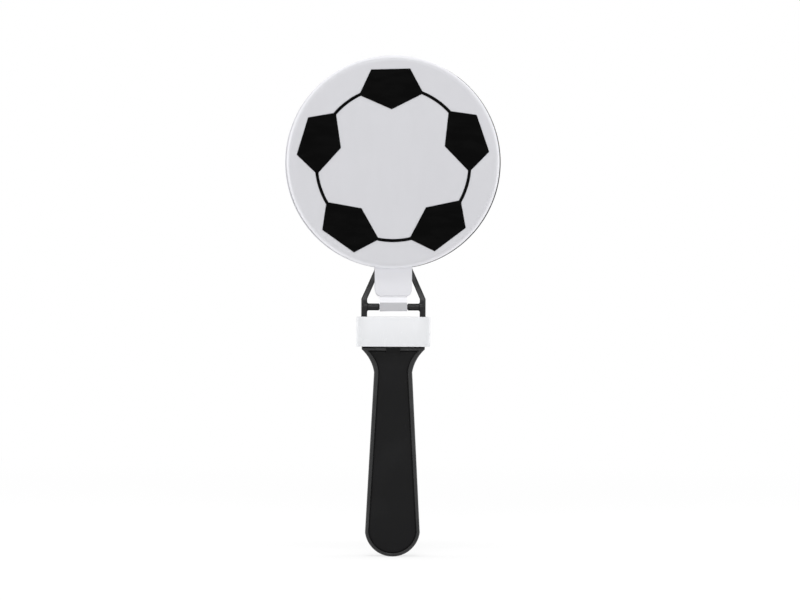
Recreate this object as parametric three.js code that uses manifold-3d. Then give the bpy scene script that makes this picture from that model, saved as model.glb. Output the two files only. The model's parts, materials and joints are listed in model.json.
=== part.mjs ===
// Football clapper, a hand-held noise maker. Two dished white paddles snap on to the hinge bars of a
// black frame and clap against its centre disc when the grip is shaken.
// Millimetres, +Z up the length, the front faces -Y. The origin is the middle of the grip.
import * as THREE from 'three';
import { mergeVertices } from 'three/addons/utils/BufferGeometryUtils.js';
import Module from 'manifold-3d';

// Clearances
const SEAT_GAP = 0.3; // between mouldings that are fixed to each other
const BORE_GAP = 0.2; // between a hinge journal and the clip round it
const END_PLAY = 0.3; // at each side of a clip on its journal
const CLOSED_GAP = 0.3; // between a closed paddle and the centre paddle
const CLIP_TO_MIDDLE = 0.6; // from a clip to the middle plane between the two clips
const SWEEP_GAP = 0.7; // between a turning clip and the collar's top
const NECK_SIDE_GAP = 3.4; // open space at each side of a neck, inside the uprights

// Hinge bars and the clips on them
const BAR_DIAMETER = 3;
const BAR_ROOT = 0.5; // the cone where a bar meets an upright
const BAR_COVER = 0.1; // how far the uprights stand in front of the bars
const JOURNAL_DIAMETER = 2.2;
const CLIP_WALL = 1.7;
const CLIP_WIDTH = 11.8;
const SNAP_BITE = 0.2; // how much each jaw must spread to pass the journal
const JAW_OVERHANG = 0.3; // how far the jaws reach below the bar
const JAW_LEAD_IN = 0.6; // how much wider the mouth is than the throat, at each side
const JAW_CHAMFER = 0.4; // on the lower front edge
const SLOPE_FOOT = 1.7; // height above the axle where the clip's slope meets its front face

// Paddle necks
const NECK_WIDTH = 16;
const NECK_DEPTH = 2.3;
const NECK_WEB = 1.3;
const NECK_FLANGE = 1.2;
const NECK_LENGTH = 16.5; // from the axle to the edge of the disc
const NECK_FOOT = 4.7; // height of the neck's lower edge above the axle
const NECK_CORNER = 3.9; // height of its rounded lower corners
const NECK_LEDGE = 0.2; // how far the neck's foot stands out beside the clip
const NECK_EDGE = 0.4;
const NECK_FLOOR = 1.8; // solid foot below the channel in the back of the neck

// Paddle discs
const DISC_DIAMETER = 91.4;
const DISH_DEPTH = 6.1;
const DISH_FACE = 1.4;
const DISH_WALL = 1.3;
const DISH_ROUND = 2.4;
const DISH_INNER_ROUND = 1.2;
const RIB_LENGTH = 12; // of the two ribs that carry the neck's flanges on into the dish
const FRONT_LEAN = 0.4; // degrees, sideways lean of each paddle in its clip's play
const REAR_LEAN = 1.2;

// Centre paddle and its frame
const CENTRE_PROUD = 0.1; // how far the centre disc stands out past the paddles
const CENTRE_RIM_THICKNESS = 2.4;
const CENTRE_RIM_WIDTH = 2.4;
const CENTRE_RIM_ROUND = 0.6;
const CENTRE_WEB_THICKNESS = 1.6;
const UPRIGHT_WIDTH = 2.4;
const BEND_HEIGHT = 3.5; // above the axle, where the uprights become arms
const ARM_DEPTH = 4; // where an arm passes behind a neck
const ARM_SPREAD = 15.6; // outside width of the two arms at the disc
const ARM_RIM_SETBACK = 0.1; // the arms end this far behind the rim's faces
const ARM_ROOT = 1.6; // how far the arms run on into the rim
const FOOT_HOOK = 2.2;
const FOOT_HEIGHT = 3;

// Collar
const COLLAR_HEIGHT = 12.8;
const COLLAR_WALL = 1.75;
const COLLAR_CORNER = 1.4;
const COLLAR_EDGE = 0.4;
const LIP_HEIGHT = 1.2;
const LIP_REACH = 1.2;

// Grip
const GRIP_LENGTH = 90; // from the collar's lower edge to the rounded end
const GRIP_END_WIDTH = 23.5;
const GRIP_END_RISE = 10.3; // height of the arc that closes the end
const GRIP_WAIST_WIDTH = 16.4;
const GRIP_EDGE = 1.8;
const WAIST_DROP = 11; // from the collar's lower edge down to the waist
const FLARE_DROP = 1.2; // from the collar's lower edge down to the start of the flare
const FLARE_HOLLOW = 0.95; // depth of the flare's arc from its chord
const SHOULDER_INSET = 0.25; // of the shoulders from the uprights' outer faces
const SHOULDER_RISE = 0.7; // of the shoulders inside the collar
const CATCH_WIDTH = 6;
const CATCH_HEIGHT = 1.8;
const CATCH_BITE = 0.8; // how far a catch reaches under the collar's wall

// Panel in each face of the grip
const PANEL_DEPTH = 0.8;
const PANEL_TOP_WIDTH = 17.2;
const PANEL_TOP_DROP = 2.3; // from the collar's lower edge
const PANEL_HOLLOW = 0.5; // depth of the arc beside the flare from its chord
const RIM_AT_WAIST = 2.3;
const RIM_AT_END = 1.4;
const GROOVE_WIDTH = 0.5;
const GROOVE_DEPTH = 0.4;

// Football print
const PRINT_THICKNESS = 0.15;
const PRINT_MARGIN = 0.9; // kept free at the edge of the disc's flat face
const PRINT_DROP = 0.95; // of the pattern's centre below the disc's centre
const PRINT_TURN = 0.85; // degrees, counter-clockwise
const PRINT_LINE = 1.3;
const PATCHES = 5;
const PATCH_LENGTH = 18.1; // from the outer edge in to the inner point
const PATCH_SHOULDER = 8.6; // from the outer edge in to the side points
const PATCH_OUTER_ANGLE = 11.6; // degrees, from the patch's middle to each outer point
const PATCH_SIDE_ANGLE = 24.8; // degrees, from the patch's middle to each side point

// Facets
const DISC_SEGMENTS = 80;
const BAR_SEGMENTS = 24;
const FILLET_STEPS = 4;
const SMALL_EDGE_STEPS = 2;
const ARC_STEPS = 8; // for each half turn or less
const OVERCUT = 1; // how far a cutter runs past the face it opens
const SAME_POINT = 1e-4; // points closer than this are one

// Places that follow from the sizes above
const barRadius = BAR_DIAMETER / 2;
const journalRadius = JOURNAL_DIAMETER / 2;
const boreRadius = journalRadius + BORE_GAP;
const clipRadius = boreRadius + CLIP_WALL;
const jawDrop = barRadius + JAW_OVERHANG;
const axleY = clipRadius + CLIP_TO_MIDDLE;
const journalHalf = CLIP_WIDTH / 2 + END_PLAY;

const coreDepth = 2 * (axleY + barRadius + BAR_COVER);
const innerHalf = NECK_WIDTH / 2 + NECK_SIDE_GAP;
const coreHalf = innerHalf + UPRIGHT_WIDTH;

const collarBottom = GRIP_LENGTH / 2;
const collarTop = collarBottom + COLLAR_HEIGHT;
const axleZ = collarTop + Math.hypot(clipRadius, jawDrop) + SWEEP_GAP;
const blockTop = collarTop - LIP_HEIGHT - SEAT_GAP;
const shoulderZ = collarBottom + SHOULDER_RISE;
const footZ = shoulderZ + SEAT_GAP;
const gripStockTop = shoulderZ + GRIP_EDGE + OVERCUT;

const discRadius = DISC_DIAMETER / 2;
const discReach = NECK_LENGTH + discRadius;
const rimY = -(CENTRE_RIM_THICKNESS / 2 + CLOSED_GAP);
const faceY = rimY - DISH_DEPTH;
const neckBackY = -(ARM_DEPTH / 2 + CLOSED_GAP);
const neckFrontY = neckBackY - NECK_DEPTH;

function plastic(name, color, roughness) {
  return new THREE.MeshStandardMaterial({ name, color, roughness, metalness: 0 });
}

const whitePlastic = () => plastic('white_plastic', 0xe4e4e8, 0.35);
const blackPlastic = () => plastic('black_plastic', 0x232324, 0.42);
const blackInk = () => plastic('black_ink', 0x0f0f0f, 0.5);

const wasm = await Module();
wasm.setup();

// A closed geometry as a solid that can be joined and cut. Faces that collapse at a pole are left out.
function toSolid(geometry) {
  geometry.deleteAttribute('normal');
  geometry.deleteAttribute('uv');
  const merged = mergeVertices(geometry, SAME_POINT);
  const corners = merged.index.array;
  const triangles = [];
  for (let i = 0; i < corners.length; i += 3) {
    const [a, b, c] = [corners[i], corners[i + 1], corners[i + 2]];
    if (a !== b && b !== c && c !== a) triangles.push(a, b, c);
  }
  const vertProperties = new Float32Array(merged.attributes.position.array);
  const triVerts = new Uint32Array(triangles);
  return new wasm.Manifold(new wasm.Mesh({ numProp: 3, vertProperties, triVerts }));
}

function toMesh(name, solid, material) {
  const result = solid.getMesh();
  const geometry = new THREE.BufferGeometry();
  geometry.setAttribute('position', new THREE.BufferAttribute(result.vertProperties, 3));
  geometry.setIndex(new THREE.BufferAttribute(result.triVerts, 1));
  geometry.computeVertexNormals();
  const mesh = new THREE.Mesh(geometry, material);
  mesh.name = name;
  return mesh;
}

// The outline's points without doubles, such as those where an arc starts at the end of a line.
function withoutDoubles(points) {
  return points.filter((point, i) => point.distanceTo(points[(i + 1) % points.length]) > SAME_POINT);
}

// An extrusion of this height along +z, with its edges rounded inside the outline.
function extruded(outline, height, edge, edgeSteps, arcSteps) {
  const { shape: points, holes } = outline.extractPoints(arcSteps);
  const clean = new THREE.Shape(withoutDoubles(points));
  clean.holes = holes.map((hole) => new THREE.Path(withoutDoubles(hole)));
  return new THREE.ExtrudeGeometry(clean, {
    depth: height - 2 * edge,
    bevelEnabled: edge > 0,
    bevelThickness: edge,
    bevelSize: edge,
    bevelOffset: -edge,
    bevelSegments: edgeSteps,
  });
}

// An outline drawn in x and z, as a slab from the plane y = front to the plane y = back.
function slab(outline, front, back, edge = 0, arcSteps = ARC_STEPS) {
  const geometry = extruded(outline, back - front, edge, FILLET_STEPS, arcSteps);
  geometry.rotateX(Math.PI / 2);
  geometry.translate(0, back - edge, 0);
  return toSolid(geometry);
}

// An outline drawn in y and z, as a bar from x = left to x = right.
function barAlongX(outline, left, right) {
  const geometry = extruded(outline, right - left, 0, 0, ARC_STEPS);
  const turn = new THREE.Matrix4().makeBasis(
    new THREE.Vector3(0, 1, 0),
    new THREE.Vector3(0, 0, 1),
    new THREE.Vector3(1, 0, 0),
  );
  geometry.applyMatrix4(turn);
  geometry.translate(left, 0, 0);
  return toSolid(geometry);
}

// An outline drawn in x and y, as a block from z = bottom to z = top.
function block(outline, bottom, top, edge = 0) {
  const geometry = extruded(outline, top - bottom, edge, SMALL_EDGE_STEPS, FILLET_STEPS);
  geometry.translate(0, 0, bottom + edge);
  return toSolid(geometry);
}

// A profile of [radius, y] points turned round the disc's axis, which stands at height centreZ.
function turnedDisc(profile, centreZ) {
  const points = profile.map(([radius, y]) => new THREE.Vector2(radius, y));
  const geometry = new THREE.LatheGeometry(points, DISC_SEGMENTS);
  geometry.translate(0, 0, centreZ);
  return toSolid(geometry);
}

function polygon(points) {
  return new THREE.Shape(points.map(([u, v]) => new THREE.Vector2(u, v)));
}

function rectangle(left, right, bottom, top) {
  return polygon([[left, bottom], [right, bottom], [right, top], [left, top]]);
}

function roundedRectangle(halfWidth, halfHeight, radius) {
  const shape = new THREE.Shape();
  shape.moveTo(halfWidth, radius - halfHeight);
  shape.absarc(halfWidth - radius, halfHeight - radius, radius, 0, Math.PI / 2);
  shape.absarc(radius - halfWidth, halfHeight - radius, radius, Math.PI / 2, Math.PI);
  shape.absarc(radius - halfWidth, radius - halfHeight, radius, Math.PI, 1.5 * Math.PI);
  shape.absarc(halfWidth - radius, radius - halfHeight, radius, 1.5 * Math.PI, 2 * Math.PI);
  return shape;
}

// The points of a quarter round, from startAngle over 90 degrees. A negative turn goes clockwise.
function quarterRound(centreU, centreV, radius, startAngle, turn = 1) {
  const points = [];
  for (let step = 0; step <= FILLET_STEPS; step += 1) {
    const angle = startAngle + turn * (step / FILLET_STEPS) * (Math.PI / 2);
    points.push([centreU + radius * Math.cos(angle), centreV + radius * Math.sin(angle)]);
  }
  return points;
}

// Draws an arc from one point to the next. Rise is its height over the chord, to the right of the way
// when it is positive and to the left when it is negative.
function arcOnChord(shape, [startU, startV], [endU, endV], rise) {
  const chord = Math.hypot(endU - startU, endV - startV);
  const height = Math.abs(rise);
  const radius = (chord * chord / 4 + height * height) / (2 * height);
  const side = Math.sign(rise);
  const alongU = (endU - startU) / chord;
  const alongV = (endV - startV) / chord;
  const offset = side * (height - radius);
  const centreU = (startU + endU) / 2 + alongV * offset;
  const centreV = (startV + endV) / 2 - alongU * offset;
  const startAngle = Math.atan2(startV - centreV, startU - centreU);
  const endAngle = Math.atan2(endV - centreV, endU - centreU);
  shape.absarc(centreU, centreV, radius, startAngle, endAngle, side < 0);
}

// The closed outline of the grip or of its panel: a flare, a taper and a rounded end.
function gripShape(top, start, waist, end, endRise, hollow) {
  const shape = new THREE.Shape();
  shape.moveTo(start[0], top);
  shape.lineTo(-start[0], top);
  shape.lineTo(-start[0], start[1]);
  arcOnChord(shape, [-start[0], start[1]], [-waist[0], waist[1]], -hollow);
  shape.lineTo(-end[0], end[1]);
  arcOnChord(shape, [-end[0], end[1]], [end[0], end[1]], endRise);
  shape.lineTo(waist[0], waist[1]);
  arcOnChord(shape, [waist[0], waist[1]], [start[0], start[1]], -hollow);
  shape.closePath();
  return shape;
}

// The grip runs on past its shoulders, so that its rounded edges are whole where they are cut flat.
function gripOutline() {
  const flareTop = [coreHalf - SHOULDER_INSET, collarBottom - FLARE_DROP];
  const waist = [GRIP_WAIST_WIDTH / 2, collarBottom - WAIST_DROP];
  const end = [GRIP_END_WIDTH / 2, GRIP_END_RISE - GRIP_LENGTH / 2];
  return gripShape(gripStockTop, flareTop, waist, end, GRIP_END_RISE, FLARE_HOLLOW);
}

function panelOutline(inset) {
  const top = collarBottom - PANEL_TOP_DROP - inset;
  const topCorner = [PANEL_TOP_WIDTH / 2 - inset, top];
  const waist = [GRIP_WAIST_WIDTH / 2 - RIM_AT_WAIST - inset, collarBottom - WAIST_DROP];
  const end = [GRIP_END_WIDTH / 2 - RIM_AT_END - inset, GRIP_END_RISE - GRIP_LENGTH / 2];
  return gripShape(top, topCorner, waist, end, GRIP_END_RISE - RIM_AT_END - inset, PANEL_HOLLOW);
}

// The block that stands in the collar, between the feet of the frame, with a notch for each foot's hook.
function gripBlock() {
  const half = innerHalf - SEAT_GAP;
  const notched = half - FOOT_HOOK;
  const notchTop = footZ + FOOT_HEIGHT + SEAT_GAP;
  const outline = polygon([
    [-notched, shoulderZ - OVERCUT], [notched, shoulderZ - OVERCUT], [notched, notchTop], [half, notchTop],
    [half, blockTop], [-half, blockTop], [-half, notchTop], [-notched, notchTop],
  ]);
  return slab(outline, -coreDepth / 2, coreDepth / 2);
}

// Both catches as one ramp bar across the grip. Their flat tops hold the collar from below.
function gripCatches() {
  const reach = coreDepth / 2 + SEAT_GAP + CATCH_BITE;
  const top = collarBottom - SEAT_GAP;
  const root = coreDepth / 2 - PANEL_DEPTH;
  const outline = polygon([
    [-root, top - CATCH_HEIGHT - PANEL_DEPTH], [root, top - CATCH_HEIGHT - PANEL_DEPTH],
    [reach, top - SEAT_GAP], [reach, top], [-reach, top], [-reach, top - SEAT_GAP],
  ]);
  return barAlongX(outline, -CATCH_WIDTH / 2, CATCH_WIDTH / 2);
}

function grip() {
  const face = coreDepth / 2;
  const floor = face - PANEL_DEPTH;
  const grooved = panelOutline(0);
  grooved.holes.push(new THREE.Path(panelOutline(GROOVE_WIDTH).getPoints(ARC_STEPS)));
  const aboveShoulders = rectangle(-coreHalf, coreHalf, shoulderZ, gripStockTop + OVERCUT);
  let solid = slab(gripOutline(), -face, face, GRIP_EDGE)
    .subtract(slab(aboveShoulders, -face - OVERCUT, face + OVERCUT));
  for (const side of [-1, 1]) {
    const [near, far] = side < 0 ? [-face - OVERCUT, -floor] : [floor, face + OVERCUT];
    solid = solid.subtract(slab(panelOutline(0), near, far));
    const [grooveNear, grooveFar] = side < 0 ? [near, far + GROOVE_DEPTH] : [near - GROOVE_DEPTH, far];
    solid = solid.subtract(slab(grooved, grooveNear, grooveFar));
  }
  solid = solid.add(gripBlock()).add(gripCatches());
  return toMesh('grip', solid, blackPlastic());
}

// A sleeve whose top closes in a lip over the front and back of the block, between the uprights.
function collar() {
  const innerX = coreHalf + SEAT_GAP;
  const innerY = coreDepth / 2 + SEAT_GAP;
  const lipHalf = innerHalf - SEAT_GAP;
  const lipY = innerY - LIP_REACH;
  const shell = block(
    roundedRectangle(innerX + COLLAR_WALL, innerY + COLLAR_WALL, COLLAR_CORNER),
    collarBottom,
    collarTop,
    COLLAR_EDGE,
  );
  const below = rectangle(-innerX, innerX, -innerY, innerY);
  const above = polygon([
    [-innerX, -innerY], [-lipHalf, -innerY], [-lipHalf, -lipY], [lipHalf, -lipY], [lipHalf, -innerY],
    [innerX, -innerY], [innerX, innerY], [lipHalf, innerY], [lipHalf, lipY], [-lipHalf, lipY],
    [-lipHalf, innerY], [-innerX, innerY],
  ]);
  const solid = shell
    .subtract(block(below, collarBottom - OVERCUT, collarTop - LIP_HEIGHT))
    .subtract(block(above, collarTop - LIP_HEIGHT - OVERCUT, collarTop + OVERCUT));
  return toMesh('collar', solid, whitePlastic());
}

// One hinge bar between the uprights: a cone at each root, shoulders, and the journal for the clip.
function hingeBar(y) {
  const end = innerHalf + UPRIGHT_WIDTH / 2;
  const profile = [
    [0, -end], [barRadius + BAR_ROOT, -end], [barRadius + BAR_ROOT, -innerHalf],
    [barRadius, -innerHalf + BAR_ROOT], [barRadius, -journalHalf], [journalRadius, -journalHalf],
    [journalRadius, journalHalf], [barRadius, journalHalf], [barRadius, innerHalf - BAR_ROOT],
    [barRadius + BAR_ROOT, innerHalf], [barRadius + BAR_ROOT, end], [0, end],
  ];
  const points = profile.map(([radius, along]) => new THREE.Vector2(radius, along));
  const geometry = new THREE.LatheGeometry(points, BAR_SEGMENTS);
  geometry.rotateZ(-Math.PI / 2);
  geometry.translate(0, y, axleZ);
  return toSolid(geometry);
}

function centreDisc(radius, centreZ) {
  const rim = CENTRE_RIM_THICKNESS / 2;
  const web = CENTRE_WEB_THICKNESS / 2;
  const inner = radius - CENTRE_RIM_WIDTH;
  const round = CENTRE_RIM_ROUND;
  return turnedDisc([
    [0, -web],
    [inner, -web],
    [inner + rim - web, -rim],
    ...quarterRound(radius - round, round - rim, round, -Math.PI / 2),
    ...quarterRound(radius - round, rim - round, round, 0),
    [inner + rim - web, rim],
    [inner, web],
    [0, web],
  ], centreZ);
}

// The frame seen from the front is two legs with hooked feet that lean in above the bend. Seen from the
// side it is as deep as the grip's core up to the bend and then tapers, so that the necks pass it.
function centrePaddle() {
  const centreZ = axleZ + discReach;
  const radius = discRadius + CENTRE_PROUD;
  const bendZ = axleZ + BEND_HEIGHT;
  const edgeZ = centreZ - Math.sqrt(radius * radius - (ARM_SPREAD / 2) ** 2);
  const lean = (coreHalf - ARM_SPREAD / 2) / (edgeZ - bendZ);
  const topZ = edgeZ + ARM_ROOT;
  const topX = coreHalf - lean * (topZ - bendZ);
  const hookTop = footZ + FOOT_HEIGHT;
  const leg = (side) => slab(polygon([
    [innerHalf - FOOT_HOOK, footZ], [coreHalf, footZ], [coreHalf, bendZ], [topX, topZ],
    [topX - UPRIGHT_WIDTH, topZ], [innerHalf, bendZ], [innerHalf, hookTop],
    [innerHalf - FOOT_HOOK, hookTop],
  ].map(([x, z]) => [side * x, z])), -coreDepth / 2, coreDepth / 2);

  const behindNeckZ = bendZ + (innerHalf - NECK_WIDTH / 2 - CLOSED_GAP) / lean;
  const rimHalf = CENTRE_RIM_THICKNESS / 2 - ARM_RIM_SETBACK;
  const halfDepths = [
    [coreDepth / 2, footZ - OVERCUT], [coreDepth / 2, bendZ], [ARM_DEPTH / 2, behindNeckZ],
    [rimHalf, edgeZ], [rimHalf, topZ + OVERCUT],
  ];
  const mirrored = halfDepths.map(([y, z]) => [-y, z]).reverse();
  const sideView = barAlongX(polygon([...halfDepths, ...mirrored]), -coreHalf - OVERCUT, coreHalf + OVERCUT);

  const frame = leg(-1).add(leg(1)).add(hingeBar(-axleY)).add(hingeBar(axleY)).intersect(sideView);
  return toMesh('centre_paddle', frame.add(centreDisc(radius, centreZ)), blackPlastic());
}

// The clip seen from the side, with the axle at its origin and the front at negative y. It slopes
// forward from the neck, wraps the journal and is open downwards.
function clipOutline(neckFront, neckBack) {
  const throatHalf = journalRadius - SNAP_BITE;
  const throatZ = -Math.sqrt(boreRadius ** 2 - throatHalf ** 2);
  const mouthHalf = throatHalf + JAW_LEAD_IN;
  const rearFoot = Math.sqrt(clipRadius ** 2 - jawDrop ** 2);
  const throatAngle = Math.atan2(throatZ, throatHalf);
  const shape = new THREE.Shape();
  shape.moveTo(neckFront, NECK_FOOT + OVERCUT);
  shape.lineTo(neckFront, NECK_FOOT);
  shape.lineTo(-clipRadius, SLOPE_FOOT);
  shape.lineTo(-clipRadius, JAW_CHAMFER - jawDrop);
  shape.lineTo(JAW_CHAMFER - clipRadius, -jawDrop);
  shape.lineTo(-mouthHalf, -jawDrop);
  shape.lineTo(-throatHalf, throatZ);
  shape.absarc(0, 0, boreRadius, -Math.PI - throatAngle, throatAngle, true);
  shape.lineTo(mouthHalf, -jawDrop);
  shape.lineTo(rearFoot, -jawDrop);
  shape.absarc(0, 0, clipRadius, -Math.asin(jawDrop / clipRadius), Math.acos(neckBack / clipRadius), false);
  shape.lineTo(neckBack, NECK_FOOT + OVERCUT);
  shape.closePath();
  return shape;
}

// A neck seen from the front: straight sides, and lower corners rounded down to a narrower foot.
function neckOutline(halfWidth, bottom, footHalf, top) {
  const side = bottom + NECK_CORNER;
  const reach = halfWidth - footHalf;
  const shape = new THREE.Shape();
  shape.moveTo(halfWidth, top);
  shape.lineTo(-halfWidth, top);
  shape.lineTo(-halfWidth, side);
  shape.absellipse(-footHalf, side, reach, NECK_CORNER, Math.PI, 1.5 * Math.PI);
  shape.lineTo(footHalf, bottom);
  shape.absellipse(footHalf, side, reach, NECK_CORNER, 1.5 * Math.PI, 2 * Math.PI);
  shape.closePath();
  return shape;
}

// A paddle in its own frame, with the axle at the origin and the face towards -y. y is the distance from
// the middle plane, so the axle's own distance is taken off.
function paddleSolid() {
  const face = faceY + axleY;
  const rim = rimY + axleY;
  const neckFront = neckFrontY + axleY;
  const neckBack = neckBackY + axleY;
  const floor = face + DISH_FACE;
  const hollowRadius = discRadius - DISH_WALL;
  const clipHalf = CLIP_WIDTH / 2;

  const outside = turnedDisc([
    [0, face],
    ...quarterRound(discRadius - DISH_ROUND, face + DISH_ROUND, DISH_ROUND, -Math.PI / 2),
    [discRadius, rim],
    [0, rim],
  ], discReach);
  const innerRound = DISH_INNER_ROUND;
  const hollow = turnedDisc([
    [0, floor],
    ...quarterRound(hollowRadius - innerRound, floor + innerRound, innerRound, -Math.PI / 2),
    [hollowRadius, rim + OVERCUT],
    [0, rim + OVERCUT],
  ], discReach);

  // The neck runs on until its corners are through the dish's wall. The hollow then trims it.
  const neckTop = discReach - Math.sqrt(hollowRadius ** 2 - (NECK_WIDTH / 2) ** 2) + NECK_EDGE;
  const neckFace = neckOutline(NECK_WIDTH / 2, NECK_FOOT, clipHalf + NECK_LEDGE, neckTop);
  const neck = slab(neckFace, neckFront, neckBack, NECK_EDGE);
  const channelHalf = NECK_WIDTH / 2 - NECK_FLANGE;
  const channelFace = neckOutline(channelHalf, NECK_FOOT + NECK_FLOOR, clipHalf - NECK_FLANGE, NECK_LENGTH);
  const channel = slab(channelFace, neckFront + NECK_WEB, neckBack + OVERCUT);

  const ribStart = NECK_LENGTH + DISH_WALL;
  const ribOutline = polygon([
    [floor - DISH_FACE / 2, ribStart], [floor - DISH_FACE / 2, ribStart + RIB_LENGTH],
    [floor, ribStart + RIB_LENGTH], [neckBack, ribStart],
  ]);
  const rib = (side) => {
    const [left, right] = side < 0 ? [-NECK_WIDTH / 2, -channelHalf] : [channelHalf, NECK_WIDTH / 2];
    return barAlongX(ribOutline, left, right);
  };
  const clip = barAlongX(clipOutline(neckFront, neckBack), -clipHalf, clipHalf);
  return outside.add(neck).subtract(hollow).subtract(channel).add(rib(-1)).add(rib(1)).add(clip);
}

// A point of a patch that lies at this radius and angle from the pattern's centre.
function patchPoint(radius, degrees) {
  const angle = THREE.MathUtils.degToRad(degrees);
  return [radius * Math.cos(angle), radius * Math.sin(angle)];
}

// The football pattern: five-sided patches joined by a ring line, as one thin skin on the disc's face.
function printSolid() {
  const face = faceY + axleY;
  const outer = discRadius - DISH_ROUND - PRINT_DROP - PRINT_MARGIN;
  const ringRadius = outer - PATCH_SHOULDER;
  const ring = new THREE.Shape();
  ring.absarc(0, 0, ringRadius + PRINT_LINE / 2, 0, 2 * Math.PI);
  const inside = new THREE.Path();
  inside.absarc(0, 0, ringRadius - PRINT_LINE / 2, 0, 2 * Math.PI);
  ring.holes.push(inside);
  const place = new THREE.Matrix4().makeTranslation(0, 0, discReach - PRINT_DROP);
  const skin = (outline, steps) => slab(outline, face - PRINT_THICKNESS, face, 0, steps);
  let solid = skin(ring, DISC_SEGMENTS / 2);
  for (let patch = 0; patch < PATCHES; patch += 1) {
    const middle = 90 + PRINT_TURN + (patch * 360) / PATCHES;
    solid = solid.add(skin(polygon([
      patchPoint(outer - PATCH_LENGTH, middle),
      patchPoint(outer - PATCH_SHOULDER, middle - PATCH_SIDE_ANGLE),
      patchPoint(outer, middle - PATCH_OUTER_ANGLE),
      patchPoint(outer, middle + PATCH_OUTER_ANGLE),
      patchPoint(outer - PATCH_SHOULDER, middle + PATCH_SIDE_ANGLE),
    ])));
  }
  return solid.transform(place.elements);
}

// A paddle with its print on one hinge bar. The rear one is the same moulding turned round.
function paddle(name, side, leanDegrees) {
  const turned = new THREE.Group();
  turned.rotation.z = side < 0 ? 0 : Math.PI;
  turned.add(toMesh(`${name}_paddle`, paddleSolid(), whitePlastic()));
  turned.add(toMesh(`${name}_print`, printSolid(), blackInk()));
  const hinged = new THREE.Group();
  hinged.position.set(0, side * axleY, axleZ);
  hinged.rotation.y = -THREE.MathUtils.degToRad(leanDegrees);
  hinged.add(turned);
  return hinged;
}

const clapper = new THREE.Group();
clapper.add(grip(), collar(), centrePaddle());
clapper.add(paddle('front', -1, FRONT_LEAN));
clapper.add(paddle('rear', 1, REAR_LEAN));

export default clapper;
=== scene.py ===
"""Football clapper: the fine surfaces of a hand-held noise maker, in a plain pale studio.

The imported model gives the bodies, the hinge axles and each part's box. Every sub-assembly is a class that
holds its sizes, builds its meshes with bmesh operators and dresses them. Lengths are in millimetres up to
the studio, which is in metres.
"""

import json
import logging
import math
from collections.abc import Callable, Iterable
from dataclasses import dataclass
from enum import Enum, IntEnum

import bmesh
import bpy
from mathutils import Matrix, Vector


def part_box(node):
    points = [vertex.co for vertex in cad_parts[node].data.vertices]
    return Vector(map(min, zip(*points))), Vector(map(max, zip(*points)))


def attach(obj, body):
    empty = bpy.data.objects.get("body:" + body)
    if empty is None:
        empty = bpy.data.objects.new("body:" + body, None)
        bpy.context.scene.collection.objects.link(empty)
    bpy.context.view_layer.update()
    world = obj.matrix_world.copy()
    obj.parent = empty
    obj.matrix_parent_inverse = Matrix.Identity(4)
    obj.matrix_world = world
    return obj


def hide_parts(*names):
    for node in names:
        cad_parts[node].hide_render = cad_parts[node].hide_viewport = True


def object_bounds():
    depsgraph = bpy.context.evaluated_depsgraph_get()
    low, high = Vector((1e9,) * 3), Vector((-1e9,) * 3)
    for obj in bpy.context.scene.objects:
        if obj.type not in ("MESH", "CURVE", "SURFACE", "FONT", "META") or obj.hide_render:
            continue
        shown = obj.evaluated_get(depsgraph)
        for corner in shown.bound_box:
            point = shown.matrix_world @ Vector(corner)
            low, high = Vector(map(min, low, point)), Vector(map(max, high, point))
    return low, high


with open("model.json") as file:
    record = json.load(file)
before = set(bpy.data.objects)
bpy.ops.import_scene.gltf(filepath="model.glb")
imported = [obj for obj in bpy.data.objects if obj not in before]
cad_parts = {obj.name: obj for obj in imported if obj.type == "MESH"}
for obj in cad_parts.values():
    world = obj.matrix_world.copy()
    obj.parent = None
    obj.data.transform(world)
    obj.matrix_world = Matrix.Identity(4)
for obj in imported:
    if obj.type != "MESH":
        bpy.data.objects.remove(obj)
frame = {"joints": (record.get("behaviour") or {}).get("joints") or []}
CAD_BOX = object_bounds()

LOG = logging.getLogger("clapper")
MM = 0.001  # metres in a millimetre
SAME_POINT = 1e-4  # points nearer than this are one
OVERCUT = 1.0  # how far a cutter reaches past what it cuts, and a joined form into its neighbour
SHARP = math.radians(28)  # an edge that turns further than this stays crisp
# The seam and the catches take the panel's darker finish as painted shade.
OUTSIDE, SUNK_AND_PAINTED_SHADE = 0, 1  # material numbers of the grip's outside and of what is sunk in it or set on it
FINISH_SLOTS = 2  # how many material numbers a combined body keeps apart
X_AXIS = Vector((1.0, 0.0, 0.0))
Y_AXIS = Vector((0.0, 1.0, 0.0))

Point = tuple[float, float]
Triple = tuple[float, float, float]
Colour = tuple[float, float, float, float]

WHITE: Colour = (1.0, 1.0, 1.0, 1.0)


class Side(Enum):
    """The two faces of the clapper. The value is the sign of y on that side."""

    FRONT = -1
    REAR = 1


class Body(Enum):
    """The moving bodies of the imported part."""

    HANDLE = "handle"
    FRONT = "front"
    REAR = "rear"


class Slot(Enum):
    """The record's material slots."""

    WHITE = "white_plastic"
    BLACK = "black_plastic"
    INK = "black_ink"


class Axis(Enum):
    """An axis of the frame, as the shader nodes name it."""

    X = "X"
    Y = "Y"
    Z = "Z"


class Combine(Enum):
    """How one body is combined with another."""

    JOIN = "UNION"
    CUT = "DIFFERENCE"
    SHARE = "INTERSECT"


class Facets(IntEnum):
    """How finely roundings, arcs and turned bodies are divided."""

    HAIR_EDGE = 2
    THIN_EDGE = 3
    EDGE = 4
    SOFT_EDGE = 5
    GRIP_EDGE = 7
    BROAD_EDGE = 8
    FOOT_CORNER = 10
    FLARE = 14
    CLIP_BACK = 20
    GATE = 24
    BORE = 28
    PIN = 32
    BAR = 48
    GRIP_END = 48
    DISC = 160


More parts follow.
